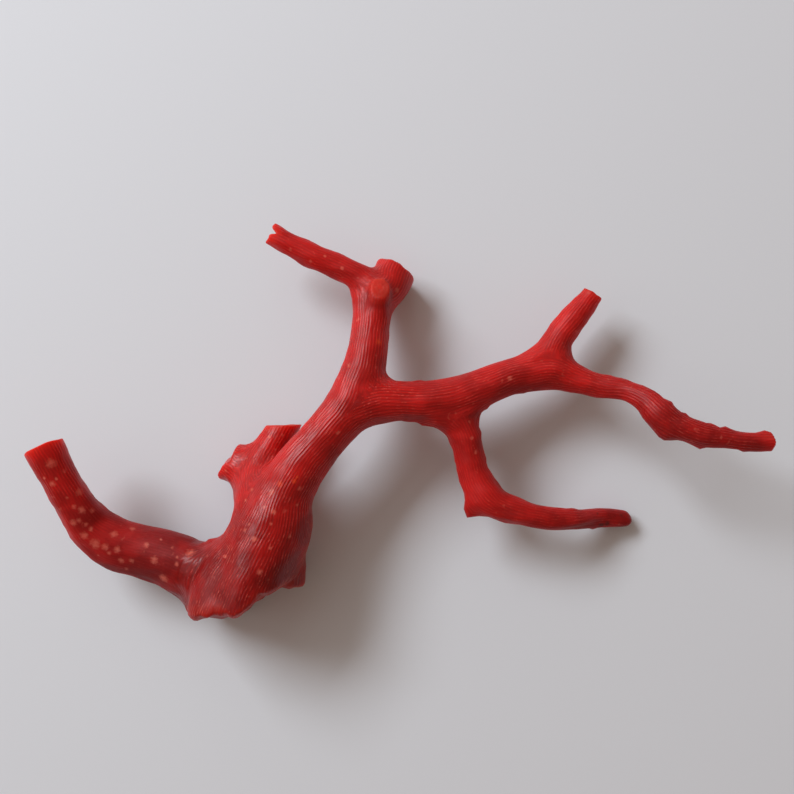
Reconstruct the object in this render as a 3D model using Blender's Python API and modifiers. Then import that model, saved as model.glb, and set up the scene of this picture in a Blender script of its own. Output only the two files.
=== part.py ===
"""A loose branch of red coral, picked and cut from its rock, lying on a flat surface.

The branch lies as it was found: X runs along its length, Y across it, and Z is up from the surface.
Every tube below is a growth axis with stations of (x, y, height, radius), all in millimetres.
"""

from math import radians

import bmesh
import bpy
from mathutils import Vector

MM = 0.001

# Where the stations' own zero lies in the finished part, whose origin is under the middle of its box
SHIFT = (0.0, 3.2, 0.12)

# The gap that parts two pieces at a fork
GAP = 0.3
# Fineness of the skin that joins the tubes, and how far the crotches between them are rounded
SKIN_STEP = 0.3
ROUNDING_PASSES = 8
# Share of the skin's faces that the finished solids keep
KEPT_FACES = 0.085
# Edges sharper than this stay crisp in shading, in degrees
SHARP_ANGLE = 40.0

TUBES = {
    # The trunk swells towards the foot and runs on as the upper stem
    "trunk": [
        (-19.4, -28.0, 7.2, 4.7),
        (-17.9, -23.2, 7.4, 4.5),
        (-16.1, -19.1, 7.8, 4.2),
        (-14.2, -15.0, 8.1, 3.9),
        (-13.1, -11.4, 8.5, 3.4),
        (-11.2, -8.1, 9.0, 3.0),
        (-8.7, -5.0, 9.0, 2.7),
        (-6.0, -1.7, 8.7, 2.7),
        (-4.7, 0.9, 8.2, 2.7),
        (-3.6, 4.6, 7.2, 2.4),
        (-3.1, 8.6, 6.0, 2.2),
        (-2.8, 11.4, 5.0, 2.2),
    ],
    # The foot is taller than it is wide: a ridge above the trunk and two lobes below it
    "foot_ridge": [
        (-14.5, -14.5, 8.8, 3.4),
        (-16.5, -20.0, 9.8, 3.6),
        (-18.0, -27.5, 10.4, 3.7),
    ],
    "foot_lobe": [
        (-14.2, -15.5, 7.4, 3.4),
        (-14.3, -19.0, 4.9, 3.3),
        (-14.4, -22.5, 3.3, 3.3),
        (-14.8, -26.0, 3.2, 3.3),
    ],
    "heel": [
        (-18.5, -20.9, 7.4, 3.5),
        (-20.9, -22.6, 4.9, 3.7),
        (-23.2, -24.6, 2.7, 3.6),
    ],
    "left_arm": [
        (-41.9, -3.0, 10.0, 2.4),
        (-40.7, -5.9, 9.6, 2.3),
        (-39.2, -9.4, 8.8, 2.1),
        (-37.5, -13.0, 7.6, 2.3),
        (-36.0, -15.6, 6.4, 2.7),
        (-33.9, -17.5, 5.5, 3.0),
        (-30.7, -18.6, 5.2, 3.1),
        (-27.6, -19.4, 5.5, 3.3),
        (-24.6, -20.6, 6.2, 3.6),
        (-21.0, -21.5, 7.2, 3.8),
    ],
    "stub": [
        (-15.6, -16.2, 7.0, 3.4),
        (-15.9, -12.6, 6.8, 3.3),
        (-16.5, -9.0, 5.0, 2.6),
        (-15.0, -5.8, 4.3, 2.0),
        (-13.6, -3.3, 3.8, 1.9),
        (-12.9, -1.8, 3.6, 1.9),
    ],
    "stub_lobe": [
        (-16.6, -10.5, 5.5, 2.6),
        (-18.2, -8.8, 4.3, 2.3),
        (-20.2, -7.4, 3.4, 2.0),
        (-21.7, -6.4, 3.0, 1.9),
    ],
    "stub_spur": [
        (-19.6, -8.4, 3.6, 1.3),
        (-21.6, -9.3, 3.5, 0.6),
    ],
    "top_stub": [
        (-2.8, 11.4, 4.9, 2.2),
        (-1.2, 13.3, 3.6, 2.5),
        (-0.2, 15.4, 2.3, 2.5),
        (0.5, 17.4, 1.6, 2.5),
    ],
    "knob": [
        (-2.9, 7.6, 5.8, 1.4),
        (-2.3, 10.7, 7.0, 1.3),
        (-2.0, 12.5, 7.8, 1.2),
        (-1.9, 13.5, 8.3, 1.2),
    ],
    "upper_left": [
        (-3.1, 12.2, 5.1, 1.9),
        (-4.5, 14.2, 5.3, 1.6),
        (-6.0, 15.1, 5.4, 1.5),
        (-8.7, 16.2, 5.6, 1.5),
        (-11.7, 17.6, 5.9, 1.4),
        (-13.8, 18.7, 6.1, 1.3),
        (-16.0, 20.0, 6.2, 1.2),
    ],
    "right": [
        (-8.7, -4.6, 9.0, 2.4),
        (-6.0, -1.9, 8.7, 2.6),
        (-2.9, -0.8, 8.5, 2.5),
        (0.4, -0.5, 8.2, 2.3),
        (3.9, -0.6, 7.9, 2.4),
        (7.4, 0.1, 7.4, 2.4),
        (11.0, 1.5, 6.8, 2.2),
        (14.6, 2.7, 6.3, 2.1),
        (18.0, 3.3, 6.0, 2.2),
        (21.1, 2.2, 6.2, 1.7),
        (24.0, 1.3, 6.8, 1.4),
        (26.8, 0.8, 7.8, 1.2),
        (28.8, -0.3, 8.8, 1.4),
        (30.5, -2.1, 9.8, 1.4),
        (32.7, -3.5, 10.3, 1.4),
        (34.7, -4.3, 10.6, 1.4),
        (37.5, -4.7, 10.8, 1.1),
        (40.3, -5.1, 10.9, 1.1),
        (44.0, -5.0, 11.0, 1.1),
    ],
    "right_spur": [
        (30.2, -2.2, 9.6, 1.0),
        (30.8, -4.1, 9.6, 0.6),
    ],
    "right_stub": [
        (17.0, 3.2, 6.0, 1.9),
        (18.5, 5.6, 5.7, 1.8),
        (19.7, 7.6, 5.5, 1.7),
        (21.5, 9.9, 5.3, 1.6),
        (22.9, 11.6, 5.1, 1.3),
        (24.6, 14.0, 4.9, 1.2),
    ],
    "lower_twig": [
        (4.7, -0.7, 7.7, 2.0),
        (7.6, -3.6, 6.9, 2.0),
        (8.6, -6.9, 6.4, 1.8),
        (9.5, -9.9, 6.1, 1.9),
        (11.3, -12.3, 6.2, 1.9),
        (14.0, -13.5, 6.3, 1.6),
        (17.6, -14.4, 5.8, 1.4),
        (21.4, -14.8, 4.3, 1.2),
        (24.8, -14.8, 2.2, 1.1),
        (28.0, -15.1, 0.6, 1.0),
    ],
    "lower_spur": [
        (10.0, -11.9, 6.2, 1.2),
        (8.6, -13.8, 6.2, 0.6),
    ],
}

# Flat cuts: a point of the face, and the direction in which it looks
CUTS = {
    "foot_cut": ((-20.0, -26.3, 5.0), (0.0, -1.0, 0.26)),
    "foot_chamfer": ((-15.4, -23.4, 8.0), (0.54, -0.84, 0.14)),
    "left_arm_cut": ((-40.6, -5.7, 9.6), (-0.41, 0.91, 0.0)),
    "stub_cut": ((-13.9, -3.4, 3.8), (0.0, 1.0, 0.0)),
    "stub_lobe_break": ((-20.3, -7.4, 3.4), (-0.82, 0.57, 0.0)),
    "top_stub_cut": ((0.5, 15.2, 2.8), (0.48, 0.87, -0.25)),
    "knob_cut": ((-2.0, 12.4, 8.0), (0.1, 0.45, 0.89)),
    "upper_left_break": ((-15.1, 19.5, 6.2), (-0.9, 0.42, 0.1)),
    "right_stub_cut": ((23.4, 12.4, 5.0), (0.55, 0.83, 0.0)),
    "right_twig_cut": ((42.8, -5.0, 11.0), (1.0, 0.0, 0.0)),
}

# Side of the box that saws each end: wider than its branch, clear of the next one
CUTTER_SIZES = {
    "foot_cut": 22.0,
    "foot_chamfer": 20.0,
    "left_arm_cut": 8.0,
    "stub_cut": 5.4,
    "stub_lobe_break": 7.0,
    "top_stub_cut": 8.0,
    "knob_cut": 6.0,
    "upper_left_break": 5.0,
    "right_stub_cut": 6.0,
    "right_twig_cut": 5.0,
}

# Forks: the middle of the parting gap, the way the branch runs there, and the gap's reach round it
FORKS = {
    "left_arm": ((-28.5, -19.5, 5.4), (-0.96, 0.28, 0.0), 4.6),
    "forked_stub": ((-16.5, -8.7, 5.0), (-0.3, 0.7, -0.65), 4.0),
    "upper_stem": ((-4.0, 3.6, 7.5), (0.2, 0.93, -0.27), 2.9),
    "upper_left_twig": ((-5.4, 14.7, 5.4), (-0.9, 0.45, 0.0), 2.3),
    "right_branch": ((0.2, -0.5, 8.2), (1.0, 0.0, -0.08), 2.9),
    "right_stub": ((18.9, 6.2, 5.7), (0.5, 0.86, -0.1), 2.5),
    "right_twig": ((21.0, 2.3, 6.2), (0.95, -0.3, 0.08), 2.3),
    "lower_twig": ((7.7, -4.0, 6.9), (0.27, -0.95, -0.15), 2.9),
}

# A point near the middle of each piece, by which it is found and named
MIDDLES = {
    "base_trunk": (-14.0, -13.0, 8.5),
    "left_arm": (-38.0, -12.0, 7.8),
    "forked_stub": (-15.5, -6.5, 4.4),
    "upper_stem": (-3.3, 8.0, 6.0),
    "upper_left_twig": (-10.0, 16.8, 5.8),
    "right_branch": (9.0, 0.9, 7.1),
    "right_stub": (21.5, 9.4, 5.4),
    "right_twig": (33.0, -3.5, 10.3),
    "lower_twig": (12.0, -12.7, 6.2),
}

# The thicker pieces are a deeper red than the thin ones
DEEP_RED = (0.42, 0.022, 0.020)
BRIGHT_RED = (0.50, 0.028, 0.022)
COLOURS = {
    "base_trunk": DEEP_RED,
    "left_arm": DEEP_RED,
    "forked_stub": DEEP_RED,
    "upper_stem": DEEP_RED,
    "upper_left_twig": BRIGHT_RED,
    "right_branch": DEEP_RED,
    "right_stub": BRIGHT_RED,
    "right_twig": BRIGHT_RED,
    "lower_twig": BRIGHT_RED,
}


def in_metres(point):
    return Vector([(value + move) * MM for value, move in zip(point, SHIFT)])


def clear_scene():
    for old in list(bpy.data.objects):
        bpy.data.objects.remove(old, do_unlink=True)


def new_collection(name):
    collection = bpy.data.collections.new(name)
    bpy.context.scene.collection.children.link(collection)
    return collection


def coral_material(name, colour):
    """Polished-looking, slightly waxy lime skeleton, red all through."""
    material = bpy.data.materials.new(name)
    material.use_nodes = True
    shader = material.node_tree.nodes["Principled BSDF"]
    shader.inputs["Base Color"].default_value = (*colour, 1.0)
    shader.inputs["Roughness"].default_value = 0.45
    shader.inputs["Metallic"].default_value = 0.0
    return material


def tube_mesh(name, stations):
    """A closed tube along a smooth curve through the stations, as a welded mesh object."""
    curve = bpy.data.curves.new(name, "CURVE")
    curve.dimensions = "3D"
    curve.bevel_depth = MM
    curve.bevel_resolution = 4
    curve.resolution_u = 6
    curve.use_fill_caps = True
    spline = curve.splines.new("BEZIER")
    spline.radius_interpolation = "CARDINAL"
    spline.bezier_points.add(len(stations) - 1)
    for point, (x, y, z, radius) in zip(spline.bezier_points, stations):
        point.co = in_metres((x, y, z))
        point.radius = radius
        point.handle_left_type = "AUTO"
        point.handle_right_type = "AUTO"
    guide = bpy.data.objects.new(name + "_axis", curve)
    bpy.context.scene.collection.objects.link(guide)
    graph = bpy.context.evaluated_depsgraph_get()
    mesh = bpy.data.meshes.new_from_object(guide.evaluated_get(graph))
    tube = bpy.data.objects.new(name, mesh)
    tube.matrix_world = guide.matrix_world
    bpy.data.objects.remove(guide, do_unlink=True)
    return tube


def grown_body(tubes, collection):
    """All tubes under one skin: the Remesh joins them, the Smooth rounds the crotches."""
    joined = bmesh.new()
    for tube in tubes:
        joined.from_mesh(tube.data)
        bpy.data.objects.remove(tube, do_unlink=True)
    bmesh.ops.remove_doubles(joined, verts=joined.verts, dist=0.00001)
    mesh = bpy.data.meshes.new("coral_body")
    joined.to_mesh(mesh)
    joined.free()
    body = bpy.data.objects.new("coral_body", mesh)
    collection.objects.link(body)
    skin = body.modifiers.new("skin", "REMESH")
    skin.mode = "VOXEL"
    skin.voxel_size = SKIN_STEP * MM
    rounding = body.modifiers.new("rounding", "SMOOTH")
    rounding.factor = 0.5
    rounding.iterations = ROUNDING_PASSES
    facets = body.modifiers.new("facets", "DECIMATE")
    facets.ratio = KEPT_FACES
    return body


def cutter(name, shape, place, direction, collection):
    """A closed tool whose own Z looks along direction, kept out of the finished part."""
    mesh = bpy.data.meshes.new(name)
    shape.to_mesh(mesh)
    shape.free()
    tool = bpy.data.objects.new(name, mesh)
    tool.location = place
    tool.rotation_euler = Vector(direction).to_track_quat("Z", "Y").to_euler()
    tool.hide_render = True
    tool.display_type = "WIRE"
    collection.objects.link(tool)
    return tool


def take_away(body, tool, solver):
    cut = body.modifiers.new(tool.name, "BOOLEAN")
    cut.operation = "DIFFERENCE"
    cut.solver = solver
    cut.object = tool


def cut_ends(body, collection):
    """Saws each branch end flat with a box that starts at the face and reaches outwards."""
    for name, (point, direction) in CUTS.items():
        reach = CUTTER_SIZES[name] * MM
        place = in_metres(point) + Vector(direction).normalized() * (reach / 2)
        box = bmesh.new()
        bmesh.ops.create_cube(box, size=reach)
        take_away(body, cutter(name, box, place, direction, collection), "EXACT")


def part_forks(body, collection):
    """A thin disc across the root of each branch leaves the gap between two pieces.

    The exact solver loses the stem here, between two discs that stand close together.
    """
    for name, (point, direction, reach) in FORKS.items():
        disc = bmesh.new()
        bmesh.ops.create_cone(
            disc,
            cap_ends=True,
            segments=24,
            radius1=reach * MM,
            radius2=reach * MM,
            depth=GAP * MM,
        )
        tool = cutter(name + "_gap", disc, in_metres(point), direction, collection)
        take_away(body, tool, "MANIFOLD")


def finished_mesh(body):
    graph = bpy.context.evaluated_depsgraph_get()
    return bpy.data.meshes.new_from_object(body.evaluated_get(graph))


def islands(mesh):
    """The separate closed bodies of a mesh, as sets of vertex numbers."""
    whole = bmesh.new()
    whole.from_mesh(mesh)
    left = set(whole.verts)
    found = []
    while left:
        front = [left.pop()]
        island = set(front)
        while front:
            vertex = front.pop()
            near = {edge.other_vert(vertex) for edge in vertex.link_edges} - island
            island |= near
            left -= near
            front.extend(near)
        found.append({vertex.index for vertex in island})
    whole.free()
    return found


def separate_pieces(body, collection):
    """One object for each piece between the gaps, named by the middle that lies nearest to it."""
    mesh = finished_mesh(body)
    pieces = islands(mesh)
    for name, middle in MIDDLES.items():
        target = in_metres(middle)
        nearest = min(mesh.vertices, key=lambda vertex: (vertex.co - target).length).index
        island = next(found for found in pieces if nearest in found)
        piece_mesh = bmesh.new()
        piece_mesh.from_mesh(mesh)
        others = [vertex for vertex in piece_mesh.verts if vertex.index not in island]
        bmesh.ops.delete(piece_mesh, geom=others, context="VERTS")
        bmesh.ops.triangulate(piece_mesh, faces=piece_mesh.faces)
        own = bpy.data.meshes.new(name)
        piece_mesh.to_mesh(own)
        piece_mesh.free()
        own.shade_smooth()
        own.set_sharp_from_angle(angle=radians(SHARP_ANGLE))
        own.materials.clear()
        own.materials.append(coral_material(name + "_coral", COLOURS[name]))
        collection.objects.link(bpy.data.objects.new(name, own))
    bpy.data.objects.remove(body, do_unlink=True)


clear_scene()
coral = new_collection("red_coral_branch")
cutters = new_collection("cutters")
body = grown_body([tube_mesh(name, stations) for name, stations in TUBES.items()], coral)
cut_ends(body, cutters)
part_forks(body, cutters)
separate_pieces(body, coral)
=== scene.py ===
from math import pi

import bpy
import numpy as np
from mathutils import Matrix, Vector


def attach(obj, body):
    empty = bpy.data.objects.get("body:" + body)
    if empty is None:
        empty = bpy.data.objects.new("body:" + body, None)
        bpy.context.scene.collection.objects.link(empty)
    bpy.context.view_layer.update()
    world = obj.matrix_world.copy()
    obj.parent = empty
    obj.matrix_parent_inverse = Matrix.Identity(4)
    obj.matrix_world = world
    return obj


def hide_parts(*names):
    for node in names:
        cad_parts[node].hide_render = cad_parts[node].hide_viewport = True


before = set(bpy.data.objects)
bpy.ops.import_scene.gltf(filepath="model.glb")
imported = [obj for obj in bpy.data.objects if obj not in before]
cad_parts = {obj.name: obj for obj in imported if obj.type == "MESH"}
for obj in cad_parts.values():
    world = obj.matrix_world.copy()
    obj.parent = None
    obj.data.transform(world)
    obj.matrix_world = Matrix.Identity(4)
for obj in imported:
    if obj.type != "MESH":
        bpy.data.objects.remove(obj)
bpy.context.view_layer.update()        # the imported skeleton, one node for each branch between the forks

# Floor, camera and light
# The branch lies on a plain pale floor. A soft light stands at the upper left, with a larger and weaker
# one behind it and a pale room all round, and the camera looks straight down from 125 mm above.

FLOOR_SIDE = 2.4
FLOOR_COLOUR = (0.70, 0.727, 0.768, 1)
FLOOR_ROUGHNESS = 0.7
half = FLOOR_SIDE / 2
corners = [(-half, -half, 0), (half, -half, 0), (half, half, 0), (-half, half, 0)]
floor_mesh = bpy.data.meshes.new("pale_floor")
floor_mesh.from_pydata(corners, [], [(0, 1, 2, 3)])
floor = bpy.data.objects.new("pale_floor", floor_mesh)
bpy.context.scene.collection.objects.link(floor)

pale = bpy.data.materials.new("smooth_pale_floor")
pale.use_nodes = True
floor_shader = pale.node_tree.nodes["Principled BSDF"]
floor_shader.inputs["Base Color"].default_value = FLOOR_COLOUR
floor_shader.inputs["Roughness"].default_value = FLOOR_ROUGHNESS
floor_mesh.materials.append(pale)

CAMERA_HEIGHT = 0.125
LENS = 45.34
SENSOR = 36
AXES_ZERO = (0.0, 0.0032, 0.00012)
camera_data = bpy.data.cameras.new("camera")
camera_data.lens = LENS
camera_data.sensor_width = SENSOR
camera_data.clip_start = 0.01
camera = bpy.data.objects.new("camera", camera_data)
camera.location = (AXES_ZERO[0], AXES_ZERO[1], AXES_ZERO[2] + CAMERA_HEIGHT)
bpy.context.scene.collection.objects.link(camera)
bpy.context.scene.camera = camera

WINDOW_WAY = Vector((-1.0, 0.9, 1.0)).normalized()


def soft_light(name, distance, sides, energy, colour):
    """A rectangle of light at a distance from the branch, on the way to the window, facing the branch."""
    glow = bpy.data.lights.new(name, "AREA")
    glow.shape = "RECTANGLE"
    glow.size, glow.size_y = sides
    glow.energy = energy
    glow.color = colour
    lamp = bpy.data.objects.new(name, glow)
    lamp.location = WINDOW_WAY * distance
    lamp.rotation_euler = WINDOW_WAY.to_track_quat("Z", "Y").to_euler()
    bpy.context.scene.collection.objects.link(lamp)


soft_light("window", distance=0.66, sides=(0.36, 0.19), energy=3.8, colour=(0.90, 0.95, 1.0))
soft_light("lit_wall", distance=0.72, sides=(1.5, 0.85), energy=2.0, colour=(0.98, 0.94, 0.92))

ROOM_COLOUR = (1.0, 0.75, 0.60, 1)
ROOM_STRENGTH = 0.25
world = bpy.data.worlds.new("pale_room")
bpy.context.scene.world = world
world.use_nodes = True
room = world.node_tree.nodes["Background"]
room.inputs["Color"].default_value = ROOM_COLOUR
room.inputs["Strength"].default_value = ROOM_STRENGTH
bpy.context.scene.view_settings.view_transform = "Standard"

# Foot and trunk
# The lime skeleton thickened year by year round the first stem. Its foot spread over the rock in a
# ridge and lobes. It was sawn off there with one cut, and a second cut took off its right side above
# the lower lobe, which ends in a break of its own.

AXIS_STEP = 0.4
LEAST_RADIUS = 0.2


def growth_axis(stations):
    """The middle line of a branch through its stations of (x, y, height, radius) in mm.

    A cubic runs from each station to the next, with slopes from the stations on both sides, and is
    read every AXIS_STEP. Returns the points, the radii and the length along the line.
    """
    knots = np.array(stations, float)
    chords = np.linalg.norm(np.diff(knots[:, :3], axis=0), axis=1)
    stops = np.concatenate([[0.0], np.cumsum(chords)])
    slopes = np.gradient(knots, stops, axis=0)
    along = np.linspace(0, stops[-1], int(round(stops[-1] / AXIS_STEP)) + 1)
    span = np.clip(np.searchsorted(stops, along, side="right") - 1, 0, len(chords) - 1)
    part = ((along - stops[span]) / chords[span])[:, None]
    run = chords[span][:, None]
    curve = (
        (2 * part**3 - 3 * part**2 + 1) * knots[span]
        + (part**3 - 2 * part**2 + part) * run * slopes[span]
        + (3 * part**2 - 2 * part**3) * knots[span + 1]
        + (part**3 - part**2) * run * slopes[span + 1]
    )
    steps = np.linalg.norm(np.diff(curve[:, :3], axis=0), axis=1)
    return {
        "points": curve[:, :3],
        "radii": np.maximum(curve[:, 3], LEAST_RADIUS),
        "along": np.concatenate([[0.0], np.cumsum(steps)]),
    }


# A branch is a set of values in mm: the stations of its axis and of the swellings on it; its cuts, each a
# point and the way that the cut faces, some with a limit, which is another point and way; how round a
# cut's edge is, how uneven its face and how fresh; the columns of the sheet round it; the fillet at its
# root; and the height of its lumps. A notch is a point, the way across it, its width and its depth.
# Lists of pairs give, at lengths along the branch, its tone, which is partly its own colour and partly
# painted light and shade, its polish and the depth of its growth lines, which drift over the run. The
# trunk's lip is the height of the worn lip along its cut, and the rim's pairs are places in x and how
# wide the fresh rim is there.

branches = {}
side_cut = ((-15.4, -23.4, 8.0), (0.54, -0.84, 0.08))
above_lobe = ((0.0, 0.0, 6.6), (0.0, 0.0, 1.0))
left_of_lobe = ((-15.2, 0.0, 0.0), (-1.0, 0.0, 0.0))
trunk_line = [
    (-19.4, -28.0, 7.2, 4.7),
    (-17.9, -23.2, 7.4, 4.5),
    (-16.1, -19.1, 7.8, 4.2),
    (-14.2, -15.0, 8.1, 3.9),
    (-13.1, -11.4, 8.5, 3.4),
    (-11.2, -8.1, 9.0, 3.0),
    (-8.7, -5.0, 9.0, 2.7),
]
branches["trunk"] = {
    "axis": [(-4.0, 2.4, 7.8, 0.8), (-4.9, 0.4, 8.3, 1.7), (-6.2, -1.9, 8.7, 2.5)] + trunk_line[::-1],
    "swellings": {
        "ridge": [(-14.5, -14.5, 8.8, 3.4), (-16.5, -20.0, 9.8, 3.6), (-18.0, -27.5, 10.4, 3.7)],
        "lobe": [
            (-14.2, -15.5, 7.4, 3.4),
            (-14.3, -19.0, 4.9, 3.3),
            (-14.4, -22.5, 3.7, 3.3),
            (-14.8, -26.0, 3.7, 3.3),
        ],
        "hip": [
            (-18.6, -17.8, 7.2, 2.2),
            (-20.2, -20.3, 7.9, 3.0),
            (-20.9, -22.6, 8.7, 3.1),
            (-21.0, -25.5, 9.4, 3.1),
            (-21.0, -28.0, 9.8, 3.1),
        ],
        "sole": [(-16.6, -19.0, 5.9, 2.4), (-17.8, -22.5, 4.3, 2.8), (-18.4, -27.5, 4.1, 2.8)],
        "heel": [(-18.5, -20.9, 7.4, 3.5), (-20.6, -22.6, 5.4, 3.5), (-22.0, -25.0, 4.0, 3.4)],
    },
    "cuts": [
        ((-20.0, -26.3, 5.0), (0.0, -1.0, 0.2)),
        (*side_cut, above_lobe),
        (*side_cut, left_of_lobe),
        ((-14.0, -23.1, 3.7), (0.1, -1.0, 0.1), ((-15.6, 0.0, 0.0), (1.0, 0.0, 0.0))),
    ],
    "edge": 0.7,
    "rough_cut": 0.22,
    "columns": 370,
    "fresh": 0.35,
    "rim": [(-20.5, 1.5), (-18.8, 0.35)],
    "lip": 0.05,
    "lumps": 0.035,
}

# Left arm
# The thickest side branch grew out of the foot, bent upwards and was sawn off square. Its rows stand
# closer over a stretch near the foot, and its own growth lines take over after the lead.

branches["left_arm"] = {
    "lead": 8.0,
    "axis": [
        (-18.6, -21.6, 7.0, 1.4),
        (-21.0, -21.5, 6.2, 2.9),
        (-24.6, -20.7, 5.1, 3.5),
        (-27.6, -19.4, 4.7, 3.3),
        (-30.7, -18.6, 4.6, 3.1),
        (-33.9, -17.5, 5.2, 3.0),
        (-36.0, -15.6, 6.3, 2.7),
        (-37.5, -13.0, 7.6, 2.3),
        (-39.2, -9.4, 8.8, 2.1),
        (-40.7, -5.9, 9.6, 2.3),
        (-41.9, -3.0, 10.0, 2.4),
    ],
    "swellings": {
        "ridge": [
            (-23.0, -19.8, 7.0, 1.8),
            (-25.2, -19.3, 6.8, 1.8),
            (-28.0, -18.4, 6.5, 1.7),
            (-31.0, -17.7, 6.3, 1.5),
            (-33.6, -16.5, 6.3, 1.4),
        ]
    },
    "fine_rows": (4.0, 9.0),
    "cuts": [((-41.0, -5.5, 9.8), (-0.51, 0.86, 0.0)), ((-41.0, -5.5, 9.8), (-0.28, 0.96, 0.0))],
    "edge": 0.15,
    "rough_cut": 0.06,
    "columns": 190,
    "fillet": 2.0,
    "fresh": 0.7,
    "lumps": 0.05,
    "tone_and_shade": [(0, 0.35), (9, 0.3), (17, 0.6), (22, 0.7), (27, 0.9)],
    "polish": [(5, 1.0), (8, 0.15), (18, 0.2), (24, 0.7), (30, 1.0)],
    "rib_depth": [(0, 0.35)],
    "rib_run": 3.0,
}

# Forked stub
# A short branch behind the trunk forks into two: the longer fork is sawn off, the lobe beside it
# broke off and carries a small spur.

branches["stub"] = {
    "axis": [
        (-15.4, -17.6, 7.2, 2.0),
        (-15.6, -16.2, 7.0, 3.0),
        (-15.9, -12.6, 6.8, 3.3),
        (-16.5, -9.0, 5.0, 2.6),
        (-15.0, -5.8, 4.3, 2.0),
        (-13.6, -3.3, 3.8, 1.9),
        (-12.9, -1.8, 3.6, 1.9),
    ],
    "cuts": [((-13.9, -3.4, 3.8), (0.0, 1.0, 0.0))],
    "edge": 0.12,
    "rough_cut": 0.05,
    "columns": 150,
    "fillet": 1.2,
    "fresh": 0.7,
    "lumps": 0.04,
    "tone_and_shade": [(0, 0.8), (8, 1.0)],
    "polish": [(0, 0.8)],
    "rib_depth": [(0, 0.9)],
    "rib_run": 1.2,
}
branches["stub_lobe"] = {
    "lead": 2.0,
    "axis": [
        (-15.6, -11.4, 6.2, 1.4),
        (-16.6, -10.5, 5.5, 2.2),
        (-18.2, -8.8, 4.3, 2.3),
        (-20.2, -7.4, 3.4, 2.0),
        (-21.7, -6.4, 3.0, 1.9),
    ],
    "swellings": {"spur": [(-19.6, -8.4, 3.6, 1.3), (-21.6, -9.2, 3.5, 0.45)]},
    "cuts": [((-20.3, -7.4, 3.4), (-0.82, 0.57, 0.0))],
    "edge": 0.3,
    "rough_cut": 0.2,
    "columns": 120,
    "fillet": 0.7,
    "fresh": 0.2,
    "lumps": 0.05,
    "tone_and_shade": [(0, 0.95)],
    "rib_depth": [(0, 0.8)],
    "rib_run": 0.9,
}

# Upper stem
# The stem runs on from the main fork and ends in a thick sawn stub that leans away; a short knob,
# sawn off towards the viewer, and a thin twig with a notched broken tip grow from its top. The
# stem's growth lines follow a guide that starts in the foot.

stem_line = [
    (-3.6, 4.6, 7.2, 2.4),
    (-3.1, 8.6, 6.0, 2.2),
    (-2.8, 11.4, 4.9, 2.3),
    (-1.2, 13.3, 3.5, 2.5),
    (-0.2, 15.4, 2.3, 2.5),
    (0.5, 17.4, 1.6, 2.5),
]
branches["stem"] = {
    "guide": trunk_line + [(-6.0, -1.7, 8.7, 2.7), (-4.7, 0.9, 8.2, 2.7)] + stem_line,
    "axis": [(-8.2, -4.4, 8.9, 1.2), (-6.0, -1.7, 8.7, 2.2), (-4.7, 0.9, 8.2, 2.6)] + stem_line,
    "cuts": [((0.65, 15.45, 2.75), (0.48, 0.87, -0.25))],
    "edge": 0.5,
    "rough_cut": 0.08,
    "columns": 190,
    "fillet": 1.4,
    "fresh": 0.2,
    "lumps": 0.04,
    "tone_and_shade": [(0, 0.3), (6, 0.3), (13, 0.65), (19, 0.95), (30, 0.85), (46, 1.1)],
    "polish": [(0, 0.8), (6, 0.85), (12, 1.0), (18, 0.95), (28, 0.7)],
    "rib_depth": [(0, 1.35), (12, 1.0), (20, 0.75)],
    "rib_run": 6.0,
}
branches["knob"] = {
    "lead": 2.0,
    "axis": [(-2.9, 7.6, 5.8, 1.2), (-2.3, 10.7, 7.0, 1.3), (-2.0, 12.5, 7.8, 1.2), (-1.9, 13.5, 8.3, 1.2)],
    "cuts": [((-2.0, 12.4, 8.2), (0.1, 0.45, 0.89))],
    "edge": 0.25,
    "rough_cut": 0.05,
    "columns": 80,
    "fillet": 0.6,
    "fresh": 0.45,
    "lumps": 0.02,
    "tone_and_shade": [(0, 0.65)],
    "polish": [(0, 0.6)],
    "rib_depth": [(0, 0.5)],
    "rib_run": 2.0,
}
branches["upper_left"] = {
    "axis": [
        (-2.0, 11.2, 5.0, 1.2),
        (-3.1, 12.4, 5.1, 1.8),
        (-4.5, 14.2, 5.3, 1.6),
        (-6.0, 15.1, 5.4, 1.5),
        (-8.7, 16.2, 5.6, 1.5),
        (-11.7, 17.6, 5.9, 1.4),
        (-13.8, 18.7, 6.1, 1.3),
        (-16.0, 20.0, 6.2, 1.2),
    ],
    "cuts": [((-15.1, 19.5, 6.2), (-0.9, 0.42, 0.1))],
    "notch": [(-15.0, 19.65, 6.2), (0.42, 0.9, 0.0), 0.32, 0.8],
    "edge": 0.2,
    "rough_cut": 0.15,
    "columns": 110,
    "fillet": 1.2,
    "fresh": 0.6,
    "lumps": 0.09,
    "tone_and_shade": [(0, 0.95), (18, 0.9)],
    "polish": [(0, 0.5)],
    "rib_depth": [(0, 0.7)],
    "rib_run": 3.0,
}

# Right branch
# The other arm of the main fork runs right, thins beyond its last fork and rises to its sawn tip. Its
# growth lines follow a guide that starts in the trunk.

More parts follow.
